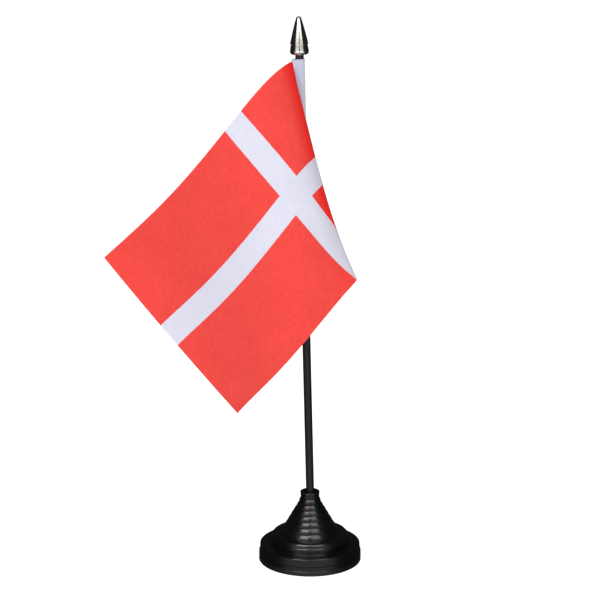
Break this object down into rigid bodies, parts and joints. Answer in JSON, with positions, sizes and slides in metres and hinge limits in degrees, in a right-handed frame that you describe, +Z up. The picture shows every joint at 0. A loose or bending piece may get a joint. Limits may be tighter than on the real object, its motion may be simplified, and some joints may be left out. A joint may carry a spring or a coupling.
{
  "type": "desk flag stand",
  "caption": "Small cloth flag with an off-centre cross on a push-in rod, with a pointed finial and a round stepped weighted base.",
  "frame": {"origin": "centre of the flat underside of the base", "axes": "+Z up, the viewer stands on the -Y side, the flag flies towards -X"},
  "size_m": [0.123, 0.0958, 0.2704],
  "materials": {
    "base_plastic": "gloss",
    "cover_plastic": "gloss",
    "ballast_steel": "plain",
    "pole_plastic": "satin",
    "finial_metal": "bright plated",
    "printed_cloth": "printed woven polyester with a white cross",
    "sleeve_cloth": "unprinted woven polyester",
    "thread": "polyester thread"
  },
  "bodies": {
    "base": {"base_shell": "base_plastic", "base_cover": "cover_plastic", "ballast_disc": "ballast_steel"},
    "mast": {"pole": "pole_plastic"},
    "flag": {"flag_cloth": "printed_cloth", "flag_sleeve": "sleeve_cloth", "sleeve_stitching": "thread"},
    "tip": {"finial": "finial_metal"}
  },
  "joints": [
    {"name": "mast_lift", "type": "slide", "parent": "base", "child": "mast", "axis": [-0.0241, 0, 0.9997], "range_m": [0, 0.028]},
    {"name": "flag_turn", "type": "hinge", "parent": "mast", "child": "flag", "pos_m": [-0.00511, 0, 0.24994], "axis": [-0.0241, 0, 0.9997], "continuous": true},
    {"name": "finial_pull", "type": "slide", "parent": "mast", "child": "tip", "axis": [-0.0241, 0, 0.9997], "range_m": [0, 0.012]}
  ]
}
